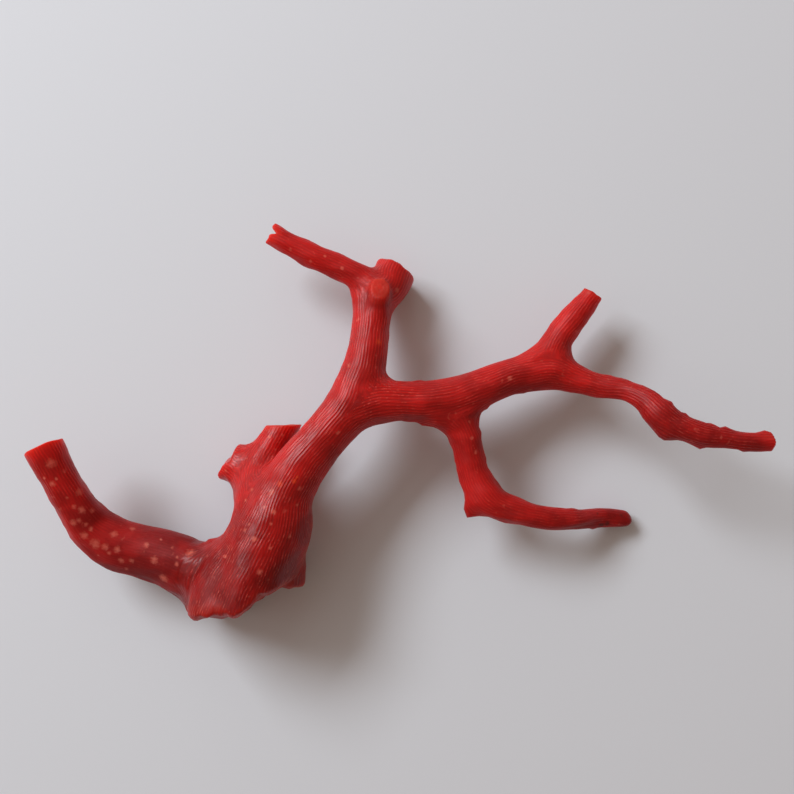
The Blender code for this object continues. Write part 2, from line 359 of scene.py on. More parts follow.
right_line = [
    (-2.9, -0.8, 8.5, 2.5),
    (0.4, -0.5, 8.2, 2.3),
    (3.9, -0.6, 7.9, 2.4),
    (7.4, 0.1, 7.4, 2.4),
    (11.0, 1.5, 6.8, 2.2),
    (14.6, 2.7, 6.3, 2.1),
    (18.0, 3.3, 6.0, 2.2),
    (21.1, 2.2, 6.2, 1.7),
    (24.0, 1.3, 6.8, 1.4),
    (26.8, 0.8, 7.8, 1.2),
    (28.8, -0.3, 8.8, 1.4),
    (30.5, -2.1, 9.8, 1.4),
    (32.7, -3.5, 10.3, 1.4),
    (34.7, -4.3, 10.6, 1.4),
    (37.5, -4.7, 10.8, 1.1),
    (40.3, -5.1, 10.9, 1.1),
    (44.0, -5.0, 11.0, 1.1),
]
branches["right"] = {
    "guide": [
        (-13.1, -11.4, 8.5, 3.3),
        (-11.2, -8.1, 9.0, 2.9),
        (-8.7, -5.0, 9.0, 2.6),
        (-6.0, -2.2, 8.7, 2.6),
    ] + right_line,
    "axis": [(-8.7, -4.6, 9.0, 1.2), (-6.0, -1.9, 8.7, 2.1)] + right_line,
    "swellings": {"spur": [(30.2, -2.2, 9.6, 1.0), (30.8, -4.1, 9.6, 0.6)]},
    "cuts": [((42.8, -5.0, 11.0), (1.0, 0.0, 0.0))],
    "edge": 0.3,
    "rough_cut": 0.1,
    "columns": 180,
    "fillet": 0.8,
    "fresh": 0.3,
    "lumps": 0.07,
    "tone_and_shade": [(0, 0.9), (20, 0.9), (34, 0.85), (42, 0.95), (50, 0.75), (58, 0.35), (66, 0.6)],
    "polish": [(0, 1.0), (15, 0.9), (24, 0.55), (60, 0.5)],
    "rib_depth": [(0, 0.8)],
    "rib_run": 5.0,
}

# Right stub
# A short straight branch at the last fork, sawn off.

branches["right_stub"] = {
    "axis": [
        (16.4, 2.0, 6.1, 1.0),
        (17.2, 3.4, 6.0, 1.8),
        (18.5, 5.6, 5.7, 1.8),
        (19.7, 7.6, 5.5, 1.7),
        (21.5, 9.9, 5.3, 1.6),
        (22.9, 11.6, 5.1, 1.3),
        (24.6, 14.0, 4.9, 1.2),
    ],
    "cuts": [((23.4, 12.4, 5.0), (0.55, 0.83, 0.0))],
    "edge": 0.15,
    "rough_cut": 0.08,
    "columns": 120,
    "fillet": 1.2,
    "fresh": 0.5,
    "lumps": 0.06,
    "tone_and_shade": [(0, 0.95), (12, 1.05)],
    "polish": [(0, 0.55)],
    "rib_depth": [(0, 0.9)],
    "rib_run": 4.0,
}

# Lower twig
# A thin branch hangs from the right branch, turns at a small spur and comes down to the floor, where
# its worn tip is round.

branches["lower_twig"] = {
    "axis": [
        (4.0, 0.2, 7.9, 1.0),
        (5.0, -1.0, 7.6, 1.8),
        (7.6, -3.6, 6.9, 2.0),
        (8.6, -6.9, 6.4, 1.8),
        (9.5, -9.9, 6.1, 1.9),
        (11.3, -12.3, 6.2, 1.9),
        (14.0, -13.5, 6.3, 1.6),
        (17.6, -14.4, 5.8, 1.4),
        (21.4, -14.8, 4.3, 1.2),
        (24.8, -14.8, 2.2, 1.1),
        (28.0, -15.1, 1.05, 1.0),
    ],
    "swellings": {"spur": [(10.0, -11.9, 6.2, 1.2), (8.6, -13.8, 6.2, 0.6)]},
    "cuts": [],
    "edge": 0.2,
    "columns": 120,
    "fillet": 1.2,
    "lumps": 0.1,
    "tone_and_shade": [(0, 1.0), (12, 0.85), (20, 0.8), (30, 0.4)],
    "polish": [(0, 0.5)],
    "rib_depth": [(0, 0.7)],
    "rib_run": 3.0,
}

# One skeleton
# All branches grew together under one living skin, so they are one solid: each branch's sheet is
# worked out on the skin that they share, and where it runs into a neighbour it sinks below it.

for branch in branches.values():
    branch["axis"] = growth_axis(branch["axis"])
    extra = branch.get("swellings", {}).values()
    branch["tubes"] = [branch["axis"]] + [growth_axis(stations) for stations in extra]

FAR_OFF = 9.0
NEAR_BOX = 4.0
POINTS_AT_ONCE = 20000
SWELLING_FILLET = 2.0


def distance_to_tube(points, tube):
    """Distance in mm from each point to a tube: the least, over the axis's short straight stretches,
    of the distance to the stretch less the radius there. It is negative inside."""
    start = tube["points"][:-1]
    step = np.diff(tube["points"], axis=0)
    squared_length = (step**2).sum(1)
    radius = tube["radii"][:-1]
    widening = np.diff(tube["radii"])
    reach = tube["radii"].max() + NEAR_BOX
    near = ((points > tube["points"].min(0) - reach) & (points < tube["points"].max(0) + reach)).all(1)
    result = np.full(len(points), FAR_OFF)
    found = np.flatnonzero(near)
    for part in np.array_split(found, max(1, len(found) // POINTS_AT_ONCE)):
        some = points[part]
        lead = some @ step.T - (start * step).sum(1)
        from_start = (some**2).sum(1)[:, None] - 2 * some @ start.T + (start**2).sum(1)
        share = np.clip(lead / squared_length, 0, 1)
        squared = from_start - 2 * share * lead + share**2 * squared_length
        gap = np.sqrt(np.maximum(squared, 0)) - radius - share * widening
        result[part] = gap.min(1)
    return result


def rounded_min(a, b, fillet):
    """The smaller of two distances, lowered by a parabola where they are within the fillet of each other."""
    bridge = np.maximum(fillet - np.abs(a - b), 0)
    return np.minimum(a, b) - bridge**2 / (4 * fillet)


def branch_distance(points, name):
    """Distance to one branch with its swellings."""
    tubes = branches[name]["tubes"]
    result = distance_to_tube(points, tubes[0])
    for tube in tubes[1:]:
        result = rounded_min(result, distance_to_tube(points, tube), SWELLING_FILLET)
    return result


def all_distances(points):
    """Distance to each branch, by its name."""
    return {name: branch_distance(points, name) for name in branches}


def common_skin(far):
    """The skin that all branches share: the rounded minimum of the distances to them."""
    skin = far["trunk"]
    for other in list(branches)[1:]:
        skin = rounded_min(skin, far[other], branches[other]["fillet"])
    return skin


def ripples(points, lengths, seed):
    """Smooth lumps between -1 and 1: the mean of plane waves of the given lengths in random directions."""
    rng = np.random.default_rng(seed)
    total = np.zeros(points.shape[:-1])
    for length in lengths:
        way = rng.normal(size=3)
        total += np.sin(points @ way * (2 * pi / length / np.linalg.norm(way)) + rng.uniform(0, 2 * pi))
    return total / len(lengths) ** 0.5


CUT_RIPPLES = [5.0, 3.7, 2.9, 2.1, 1.6, 1.2]
CUT_CORNER = 0.6


def past_cuts(points, branch):
    """How far each point lies past the branch's cuts, in mm: the rounded maximum of the distances past
    each cut's plane, whose face is uneven by ripples across it. A cut with a limit ends at that plane."""
    result = np.full(points.shape[:-1], -FAR_OFF)
    for place, look, *limits in branch["cuts"]:
        normal = np.array(look) / np.linalg.norm(look)
        past = (points - np.array(place)) @ normal
        in_plane = points - past[..., None] * normal
        past = past + branch["rough_cut"] * ripples(in_plane, CUT_RIPPLES, 5)
        for edge, side in limits:
            past = rounded_min(past, (points - np.array(edge)) @ np.array(side), CUT_CORNER)
        result = -rounded_min(-result, -past, CUT_CORNER)
    if "notch" in branch:
        place, across, width, depth = branch["notch"]
        offset = (points - np.array(place)) @ np.array(across) / np.linalg.norm(across)
        result = result + depth * np.exp(-((offset / width) ** 2))
    return result


def skin_height(points, name):
    """Height of points over one branch's own sheet before its cuts, in mm.

    It is the height over the common skin; where a neighbour is nearer than the branch itself, the
    difference is added, which takes the sheet down into the neighbour.
    """
    flat = points.reshape(-1, 3)
    far = all_distances(flat)
    nearest = np.min([far[other] for other in branches if other != name], axis=0)
    return (common_skin(far) + np.maximum(far[name] - nearest, 0)).reshape(points.shape[:-1])


def sawn_height(points, name):
    """Height over the sheet with its cuts: the rounded maximum of that height and the one past the cuts."""
    height = skin_height(points, name)
    if branches[name]["cuts"]:
        height = -rounded_min(-height, -past_cuts(points, branches[name]), branches[name]["edge"])
    return height


def frame_along(axis, along):
    """Point, radius, and the two directions across the axis (level, and upwards) at lengths along it."""
    tangents = np.gradient(axis["points"], axis["along"], axis=0)
    point = np.stack([np.interp(along, axis["along"], column) for column in axis["points"].T], -1)
    tangent = np.stack([np.interp(along, axis["along"], column) for column in tangents.T], -1)
    level = np.cross(tangent, (0, 0, 1.0))
    level /= np.linalg.norm(level, axis=-1, keepdims=True)
    upward = np.cross(level, tangent)
    upward /= np.linalg.norm(upward, axis=-1, keepdims=True)
    return point, np.interp(along, axis["along"], axis["radii"]), level, upward


RAY_PASSES = 14
RAY_SHARE = 0.6
LEAST_REACH = 0.3


def rows_on_skin(name, along, turn):
    """Points where rays from the axis, at each length along it and each turn round it, meet the skin.

    Each ray starts at the branch's radius and moves by a share of the height over the skin until that
    is nothing. Returns the points and the rays' directions.
    """
    point, radius, level, upward = frame_along(branches[name]["axis"], along)
    way = level * np.cos(turn)[..., None] + upward * np.sin(turn)[..., None]
    reach = radius.copy()
    for _ in range(RAY_PASSES):
        height = skin_height(point + reach[..., None] * way, name)
        reach = np.maximum(reach - RAY_SHARE * height, LEAST_REACH * radius)
    return point + reach[..., None] * way, way


ROW_STEP = 0.6
FINE_STEP = 0.11
LAST_ROWS = [0.2, 0.08, 0.0]
RIM_SETBACK = 0.35
RIM_PASSES = 10
RIM_SHARE = 0.7
PAST_END = 2
ROUND_REACH = 2
ROUND_PASSES = 8
ROUND_SHARE = 0.5
CAP_ROWS = [0.97, 0.92, 0.85, 0.75, 0.6, 0.4, 0.2]
CAP_PASSES = 24
CAP_SHARE = 0.6


def branch_sheet(name):
    """The closed sheet of one branch as a grid: rows along the axis, columns round it.

    Each column ends just before it meets the cut, and its rows are shared out evenly. The end face is
    the rim drawn in towards its middle and moved along the branch onto the sheet.
    """
    branch = branches[name]
    axis = branch["axis"]
    total = axis["along"][-1]
    turn = np.linspace(0, 2 * pi, branch["columns"], endpoint=False)
    end = np.full(len(turn), total)
    look = axis["points"][-1] - axis["points"][-2]
    if branch["cuts"]:
        look = np.array(branch["cuts"][0][1])
        for _ in range(RIM_PASSES):
            past = past_cuts(rows_on_skin(name, end, turn)[0], branch) + RIM_SETBACK * branch["edge"]
            end = np.clip(end - RIM_SHARE * past, 0, total + PAST_END)
    look = look / np.linalg.norm(look)
    from_end = np.arange(total, ROW_STEP / 2, -ROW_STEP)
    if "fine_rows" in branch:
        near, off = total - np.array(branch["fine_rows"])
        outside = from_end[(from_end > near) | (from_end < off)]
        from_end = np.sort(np.concatenate([outside, np.arange(off, near, FINE_STEP)]))[::-1]
    from_end = np.concatenate([from_end, LAST_ROWS])
    along = end[None, :] * (1 - from_end[:, None] / total)
    rows, ways = rows_on_skin(name, along, np.broadcast_to(turn, along.shape))
    rounded = from_end < ROUND_REACH * branch["edge"] + ROW_STEP
    for _ in range(ROUND_PASSES):
        height = sawn_height(rows[rounded], name)
        rows[rounded] -= ROUND_SHARE * height[..., None] * ways[rounded]
    middle = rows[-1].mean(0)
    caps = middle + (rows[-1] - middle) * np.array(CAP_ROWS)[:, None, None]
    caps = np.concatenate([caps.reshape(-1, 3), middle[None]])
    for _ in range(CAP_PASSES):
        caps = caps - CAP_SHARE * sawn_height(caps, name)[:, None] * look
    grid = np.concatenate([rows, caps[:-1].reshape(len(CAP_ROWS), -1, 3)])
    count, columns = grid.shape[:2]
    points = np.concatenate([grid.reshape(-1, 3), [grid[0].mean(0), caps[-1]]])
    row, column = np.meshgrid(np.arange(count - 1), np.arange(columns), indexing="ij")
    beside = (column + 1) % columns
    here = row * columns
    after = here + columns
    quads = np.stack([here + column, after + column, after + beside, here + beside], -1).reshape(-1, 4)
    first = np.arange(columns)
    following = (first + 1) % columns
    last = (count - 1) * columns
    root_fan = np.stack([first, following, np.full(columns, count * columns)], -1)
    pole_fan = np.stack([last + following, last + first, np.full(columns, count * columns + 1)], -1)
    return points, quads.tolist() + root_fan.tolist() + pole_fan.tolist()


def sheet_object(name):
    """An object that holds one branch's sheet, in mm, for the union alone."""
    points, faces = branch_sheet(name)
    mesh = bpy.data.meshes.new(name)
    mesh.from_pydata(points, [], faces)
    return bpy.data.objects.new(name, mesh)


sheets = [sheet_object(name) for name in branches]
skeleton = sheets[0]
bpy.context.scene.collection.objects.link(skeleton)
for other in sheets[1:]:
    bpy.context.scene.collection.objects.link(other)
    union = skeleton.modifiers.new(other.name, "BOOLEAN")
    union.operation = "UNION"
    union.solver = "MANIFOLD"
    union.object = other
graph = bpy.context.evaluated_depsgraph_get()
grown = bpy.data.meshes.new_from_object(skeleton.evaluated_get(graph))
for old in sheets:
    bpy.data.objects.remove(old, do_unlink=True)
coral = bpy.data.objects.new("coral_skeleton", grown)
bpy.context.scene.collection.objects.link(coral)
points = np.empty(len(grown.vertices) * 3)
grown.vertices.foreach_get("co", points)
points = points.reshape(-1, 3)
edges = np.empty(len(grown.edges) * 2, int)
grown.edges.foreach_get("vertices", edges)
edges = edges.reshape(-1, 2)

# Warts and small bumps left by polyps: the place of each in mm and how far it rises.

WARTS = [
    (2.6, 1.75, 8.0, 0.18),
    (3.1, -3.0, 7.8, 0.22),
    (10.3, -1.1, 7.0, 0.25),
    (14.8, 0.7, 6.3, 0.15),
    (-22.8, -16.9, 7.0, 0.3),
    (-22.1, -17.0, 7.2, 0.35),
    (-21.4, -17.1, 7.4, 0.3),
    (1.2, -2.9, 8.2, 0.15),
    (31.2, -0.7, 10.3, 0.3),
    (33.0, -2.1, 10.4, 0.25),
    (34.6, -5.7, 10.4, 0.3),
    (41.8, -4.0, 11.0, 0.25),
    (39.6, -6.2, 10.8, 0.2),
    (36.0, -3.3, 10.8, 0.28),
    (37.6, -3.7, 10.8, 0.3),
    (25.0, 2.5, 7.2, 0.15),
    (21.2, -13.6, 4.6, 0.18),
    (24.0, -15.9, 2.6, 0.2),
]
WART_WIDTH = 0.45
LUMP_LENGTHS = [4.3, 3.4, 2.7, 2.2, 1.8, 1.5]
FORK_WIDTH = 1.0
FORK_PASSES = 60
FORK_SHARE = 0.5
HELD_AT_CUT = 0.7
LUMP_PASSES = 30
CUT_START = 0.02
CUT_BAND = 0.08
FRESH_RIM = 0.6
RIM_BAND = 0.3
RIM_WAVER = 0.3
SAW_LIP = 0.02
LIP_RISE = 0.25
LIP_WIDTH = 0.7


def eased(points, share):
    """Points moved by their share towards the mean of the points beside them."""
    count = np.bincount(edges.ravel(), minlength=len(points))[:, None]
    total = np.stack([
        np.bincount(edges[:, 0], column[edges[:, 1]], len(points))
        + np.bincount(edges[:, 1], column[edges[:, 0]], len(points))
        for column in points.T
    ], -1)
    return points + share[:, None] * (total / count - points)


# How deep each point lies under the shared skin, which branch it belongs to, how near it is to a fork,
# and how far it is on a cut face, in the fresh band at a cut's rim, and up the band's worn lip.

far = all_distances(points)
ordered = np.sort(np.stack(list(far.values())), axis=0)
owner = np.argmin(np.stack(list(far.values())), axis=0)
below_skin = -common_skin(far)
at_fork = np.exp(-(((ordered[1] - ordered[0]) / FORK_WIDTH) ** 2))
cut_face = np.zeros(len(points))
fresh = np.zeros(len(points))
lip = np.zeros(len(points))
lumps = np.zeros(len(points))
for number, branch in enumerate(branches.values()):
    mine = owner == number
    lumps[mine] = branch["lumps"]
    if branch["cuts"]:
        past = past_cuts(points[mine], branch)
        cut_face[mine] = np.clip(1 + (past + CUT_START) / CUT_BAND, 0, 1)
        rim = np.interp(points[mine, 0], *np.transpose(branch.get("rim", [(0, FRESH_RIM)])))
        into_rim = past + rim * (1 + RIM_WAVER * ripples(points[mine], CUT_RIPPLES, 9))
        in_band = np.clip(0.5 + into_rim / RIM_BAND, 0, 1)
        fresh[mine] = branch["fresh"] * (0.5 * cut_face[mine] + 0.5 * in_band)
        rolled = np.tanh(into_rim / LIP_RISE) * np.exp(-((into_rim / LIP_WIDTH) ** 2))
        lip[mine] = branch.get("lip", SAW_LIP) * rolled
for _ in range(LUMP_PASSES):
    lumps = eased(lumps[:, None], np.full(len(points), 0.5))[:, 0]
for _ in range(FORK_PASSES):
    points = eased(points, FORK_SHARE * at_fork * (1 - HELD_AT_CUT * cut_face))

# Growth lines
# The skeleton is lined lengthwise with fine ribs about a third of a millimetre apart, which wander,
# split and join, and run on from one branch into the next. On the forked stub they break into dots.

RIB_SPACING = 0.35
RIB_DEPTH = 0.021
RIB_BLEND = 0.45
RIB_CREST = 1.5
RIB_SPREAD = 0.11
WIDE_WANDER = 0.05
WIDE_WANDER_LENGTH = 5.1
FINE_WANDER = 0.02
FINE_WANDER_LENGTH = 3.3
WIDE_DRIFT = 1.0
FINE_DRIFT = 0.45


def across_and_along(points, axis):
    """Turn round an axis, length along it, distance from it and distance to its tube, for each point."""
    nearest = np.empty(len(points), int)
    for part in np.array_split(np.arange(len(points)), len(points) // POINTS_AT_ONCE + 1):
        farness = (axis["points"] ** 2).sum(1) - 2 * points[part] @ axis["points"].T
        nearest[part] = farness.argmin(1)
    tangents = np.gradient(axis["points"], axis["along"], axis=0)
    lead = ((points - axis["points"][nearest]) * tangents[nearest]).sum(1)
    along = np.clip(axis["along"][nearest] + lead, 0, axis["along"][-1])
    point, radius, level, upward = frame_along(axis, along)
    away = points - point
    turn = np.arctan2((away * upward).sum(1), (away * level).sum(1))
    reach = np.linalg.norm(away, axis=1)
    return turn, along, reach, reach - radius


def ribs(turn, along, reach, run, rng):
    """Rib height at each point: whole-number waves round the branch whose length is near the rib spacing,
    and whose phases drift along it within the run, so that ribs wander, split and join. Two slow waves
    along the branch make them all wander together."""
    wide = 2 * pi * along / WIDE_WANDER_LENGTH + 2 * np.sin(turn)
    fine = 2 * pi * along / FINE_WANDER_LENGTH + 3 * np.cos(turn)
    wander = WIDE_WANDER * np.sin(wide + rng.uniform(0, 6))
    wander += FINE_WANDER * np.sin(fine + rng.uniform(0, 6))
    turn = turn + wander / reach
    around = 2 * pi * reach / RIB_SPACING
    total = np.zeros(len(turn))
    power = np.zeros(len(turn))
    for count in range(int(around.min() * 0.6), int(around.max() * 1.5) + 1):
        band = np.exp(-(((count / around - 1) / RIB_SPREAD) ** 2) / 2)
        drift = WIDE_DRIFT * np.sin(2 * pi * along / (run * rng.uniform(0.7, 1.4)) + rng.uniform(0, 6))
        drift += FINE_DRIFT * np.sin(2 * pi * along / (run * rng.uniform(0.3, 0.6)) + rng.uniform(0, 6))
        total += band * np.cos(count * turn + rng.uniform(0, 2 * pi) + drift)
        power += band**2
    return total / np.sqrt(power / 2)


# Each branch has a flow of growth lines of its own, and the trunk has those of the stem and the right
# branch. A side branch's flow begins its lead away from its root, and flows blend where they meet.

FLOW_REACH = 4.0
BARE_CORE = 0.3
LEAD = 3.0
LEAD_IN = 3
LATE = 5.0
CUT_DULLS = 0.8

rng = np.random.default_rng(11)
main_start = growth_axis(branches["stem"]["guide"])
flows = {}
for name, branch in branches.items():
    if name == "trunk":
        continue
    guide = growth_axis(branch["guide"]) if "guide" in branch else branch["axis"]
    turn, along, reach, gap = across_and_along(points, guide)
    use = (gap < ordered[0] + FLOW_REACH) & (reach > BARE_CORE)
    height = np.zeros(len(points))
    height[use] = ribs(turn[use], along[use], reach[use], branch["rib_run"], rng)
    near_guide = np.clip(1.25 - gap / FLOW_REACH, 0.2, 1)
    height *= np.interp(along, *np.transpose(branch["rib_depth"])) * near_guide
    begins = 0.0
    if name == "right":
        begins = main_start["along"][((main_start["points"] - guide["points"][0]) ** 2).sum(1).argmin()]
    fibre = np.stack([reach * np.cos(turn), reach * np.sin(turn), (begins + along) / branch["rib_run"]], -1)
    rise = np.clip((along - branch.get("lead", LEAD) + 2) / LEAD_IN, 0, 1)
    late = LATE * (1 - rise * rise * (3 - 2 * rise))
    # Its tone here is partly the coral's own colour and partly painted light and shade.
    tone_and_shade = np.interp(along, *np.transpose(branch["tone_and_shade"]))
    polish = np.interp(along, *np.transpose(branch.get("polish", [(0, 1.0)])))
    flows[name] = (np.where(use, gap, FAR_OFF) + late, height, fibre, tone_and_shade, polish)


def shared(gaps):
    """Weights of several flows at each point, from how near each is."""
    weights = np.exp(-(gaps - gaps.min(0)) / RIB_BLEND)
    return weights / weights.sum(0)


gaps, heights, fibres, tones_and_shades, polishes = (np.stack(parts) for parts in zip(*flows.values()))
weights = shared(gaps)
rib_height = (weights * heights).sum(0) / np.sqrt((weights**2).sum(0))
rib_height = RIB_CREST * np.tanh(rib_height / RIB_CREST)
is_main = np.array([name in ("stem", "right") for name in flows])
main_fibre = (shared(gaps[is_main])[..., None] * fibres[is_main]).sum(0)
side_fibre = (shared(gaps[~is_main])[..., None] * fibres[~is_main]).sum(0)
side_share = weights[~is_main].sum(0)
# The blended tone, partly painted light and shade.
tone_and_shade = (weights * tones_and_shades).sum(0)
polish = (weights * polishes).sum(0) * (1 - CUT_DULLS * fresh)
normals = np.empty(len(grown.vertices) * 3)
grown.vertices.foreach_set("co", points.ravel())
grown.update()
grown.vertex_normals.foreach_get("vector", normals)
normals = normals.reshape(-1, 3)
lift = RIB_DEPTH * rib_height + lip + lumps * ripples(points, LUMP_LENGTHS, 3)
for x, y, z, height in WARTS:
    lift += height * np.exp(-((points - (x, y, z)) ** 2).sum(1) / WART_WIDTH**2)
points = points + normals * (lift * (1 - cut_face))[:, None]
grown.vertices.foreach_set("co", (points * 0.001 + np.array(AXES_ZERO)).ravel())
grown.update()
grown.shade_smooth()
measures = {
    "rib": rib_height,
    "fresh": fresh,
    "side_share": side_share,
    "tone_and_shade": tone_and_shade,
    "polish": polish,
    "below_skin": below_skin,
}
for name, values in measures.items():
    layer = grown.attributes.new(name, "FLOAT", "POINT")
    layer.data.foreach_set("value", values.astype(np.float32))
for name, values in (("main_fibre", main_fibre), ("side_fibre", side_fibre)):
    layer = grown.attributes.new(name, "FLOAT_VECTOR", "POINT")
    layer.data.foreach_set("vector", values.astype(np.float32).ravel())

# Colour and polish
# The lime is red all through and slightly waxy. Its tone is partly painted light and shade, shade is
# painted between the ribs and highlights on the crests, cut faces are more orange, and pale spots show
# where polyps sat.

red = bpy.data.materials.new("red_coral")
red.use_nodes = True
nodes = red.node_tree.nodes
links = red.node_tree.links
red_shader = nodes["Principled BSDF"]
place = nodes.new("ShaderNodeTexCoord").outputs["Object"]


def attribute(name):
    """The node that reads one of the measures kept at the mesh's points."""
    node = nodes.new("ShaderNodeAttribute")
    node.attribute_name = name
    return node


def noise(vector, scale, detail):
    """Soft noise from 0 to 1 in lumps about one over the scale across, with octaves of detail on them."""
    texture = nodes.new("ShaderNodeTexNoise")
    texture.inputs["Scale"].default_value = scale
    texture.inputs["Detail"].default_value = detail
    links.new(vector, texture.inputs["Vector"])
    return texture.outputs["Fac"]


def put(value, socket):
    """Links an output to a socket, or sets the socket to a number or colour."""
    if isinstance(value, (int, float)):
        socket.default_value = value
    elif isinstance(value, tuple):
        socket.default_value = (*value, 1) if len(socket.default_value) == 4 else value
    else:
        links.new(value, socket)


def worked(operation, first, second):
    """Two numbers or outputs put together by one of the Math node's operations."""
    node = nodes.new("ShaderNodeMath")
    node.operation = operation
    put(first, node.inputs[0])
    put(second, node.inputs[1])
    return node.outputs[0]


def ramp(value, low, high, start=0.0, end=1.0):
    """The value's share of the way from low to high, eased at both ends, from start to end."""
    node = nodes.new("ShaderNodeMapRange")
    node.interpolation_type = "SMOOTHSTEP"
    for socket, number in (("From Min", low), ("From Max", high), ("To Min", start), ("To Max", end)):
        node.inputs[socket].default_value = number
    put(value, node.inputs["Value"])
    return node.outputs["Result"]


def blend(share, first, second):
    """The first colour with a share of the second mixed in."""
    node = nodes.new("ShaderNodeMix")
    node.data_type = "RGBA"
    put(first, node.inputs[6])
    put(second, node.inputs[7])
    put(share, node.inputs[0])
    return node.outputs[2]


def scaled(vector, factors):
    """A vector with each of its parts multiplied by a factor."""
    node = nodes.new("ShaderNodeVectorMath")
    node.operation = "MULTIPLY"
    put(vector, node.inputs[0])
    put(factors, node.inputs[1])
    return node.outputs[0]


side = attribute("side_share").outputs["Fac"]


def lengthwise(stretch):
    """Noise stretched along the branches: that of the main flow, blended into that of the side branches."""
    node = nodes.new("ShaderNodeMix")
    put(side, node.inputs[0])
    put(noise(scaled(attribute("main_fibre").outputs["Vector"], stretch), 1.0, 2.0), node.inputs[2])
    put(noise(scaled(attribute("side_fibre").outputs["Vector"], stretch), 1.0, 2.0), node.inputs[3])
    return node.outputs[0]


# The red is deeper where the tone is low, and that tone is partly painted light and shade. Shade is
# painted between the ribs, most of all where the branch is worn smooth, and the red is clouded and
# mottled in places. Short pink dashes on the crests there are painted highlights.

DEEP_RED = (0.20, 0.0014, 0.0014)
BRIGHT_RED = (0.55, 0.011, 0.009)
MOTTLED_RED = (0.56, 0.05, 0.03)
GROOVE_SHADE_RED = (0.12, 0.001, 0.001)
GLINT_PINK = (0.80, 0.17, 0.13)
STREAK_STRETCH = (2.6, 2.6, 1.6)
GLINT_STRETCH = (7.0, 7.0, 9.0)
CLOUDS_PER_METRE = 330
MOTTLES_PER_METRE = 1900
CLOUD_SHARE = 0.38
MOTTLE_SHARE = 0.08
RIBS_IN_CREST = 0.75
STREAKS_IN_CREST = 0.25

streaks = ramp(lengthwise(STREAK_STRETCH), 0.34, 0.66)
rib = attribute("rib").outputs["Fac"]
sawn = attribute("fresh").outputs["Fac"]
polished = attribute("polish").outputs["Fac"]
high_ribs = worked("MULTIPLY", ramp(rib, -0.8, 0.8), RIBS_IN_CREST)
crest = worked("ADD", high_ribs, worked("MULTIPLY", streaks, STREAKS_IN_CREST))
clouds = ramp(noise(place, CLOUDS_PER_METRE, 3), 0.36, 0.64)
mottle = ramp(noise(place, MOTTLES_PER_METRE, 2), 0.45, 0.75)
# The tone is partly the coral's own colour and partly painted light and shade: darker on the foot, the lower
# trunk and the left arm's root, lighter up the stem and on most of the thin branches. Clouds add random
# tone.
clouded_tone_and_shade = worked("ADD", attribute("tone_and_shade").outputs["Fac"], worked("MULTIPLY", clouds, CLOUD_SHARE))
body = blend(ramp(clouded_tone_and_shade, 0.3, 1.5), DEEP_RED, BRIGHT_RED)
body = blend(worked("MULTIPLY", mottle, MOTTLE_SHARE), body, MOTTLED_RED)
# Painted shade in the grooves between the ribs, deeper where the branch is polished; the crests keep the
# body's red.
groove_shade = blend(ramp(polished, 0.3, 1.0, 0.2, 0.38), body, GROOVE_SHADE_RED)
grooved = blend(ramp(crest, 0.1, 0.8), groove_shade, body)
# Painted highlights: short pink dashes along the high crests, strongest where the branch is polished.
painted_glints = worked("MULTIPLY", ramp(lengthwise(GLINT_STRETCH), 0.50, 0.66), ramp(rib, 0.2, 0.95))
painted_glints = worked("MULTIPLY", painted_glints, ramp(polished, 0.2, 1.0, 0.09, 0.36))
grooved = blend(painted_glints, grooved, GLINT_PINK)

# Spots where polyps sat, and the dark specks at the lower twig's tip, are given as the camera sees them,
# in pixels of a picture 794 wide: how far from its left side and from its top, and the radius.

PALE_SPOTS = [
    (51, 463, 4.5), (56, 479, 1.6), (44, 478, 1.7), (52, 484, 3), (65, 471, 2.3), (80, 492, 4),
    (67, 498, 1.7), (74, 507, 2.4), (82, 510, 3.6), (93, 510, 2.8), (73, 523, 3.2), (84, 536, 4),
    (95, 544, 5.2), (105, 547, 3.6), (109, 553, 2.2), (117, 549.6, 3.4), (114, 534, 3.4), (121, 561, 3),
    (131, 561, 2.6), (146, 545, 2.6), (154, 560, 3.6), (163, 579, 4.5), (133, 527.5, 3.2),
    (161, 539, 1.5), (172, 547, 1.7), (177, 557, 1.6), (176.5, 564, 2.2), (190, 552, 4.4),
    (206, 555.6, 1.9), (126, 570, 2.4), (98, 556, 1.6), (271.7, 492, 3.4), (244, 530, 2.4),
    (248.3, 524, 1.8), (264, 506.7, 1.7), (273, 512, 2.6), (254, 539, 3.2), (271, 524, 1.5),
    (260, 572, 2.6), (289, 572.5, 2), (297.5, 505, 1.7), (300, 489, 2.2), (270, 548, 1.6),
    (224, 556, 2.4), (241.7, 516.7, 1.4), (245, 500, 1.8), (247, 484, 1.6), (251, 489, 2.2),
    (246, 458, 1.3), (253, 460, 1.4), (269, 437, 1.5), (283, 435, 1.5), (279, 442, 1.2), (225, 471, 2),
    (290, 537, 2), (357, 319, 2.3), (348, 365, 2.4), (398, 290, 2.6), (338, 433, 2), (510, 378, 2.4),
    (470, 422, 1.9), (472, 438, 1.8), (476, 452, 2), (290, 250, 1.8), (310, 262, 2), (342, 268, 1.8),
    (325, 256, 1.4), (79, 521, 2.6), (86, 524, 2.2), (91, 529, 2.4), (266, 462, 1.3), (262, 471, 1.2),
    (275, 449, 1.2),
]
ORANGE_SPOTS = [(280, 484, 3.2), (294, 481, 2.4), (297, 477, 1.7), (380, 342, 3.6)]
DARK_SPECKS = [(602, 526, 3.7), (607, 524, 2.9), (598, 513, 1.6), (622, 515, 2)]
PICTURE_SIDE = 794
NEAR_SQUARED = 6
SPOT_EDGES_PER_METRE = 3000
SPOT_WAVER = 1.5

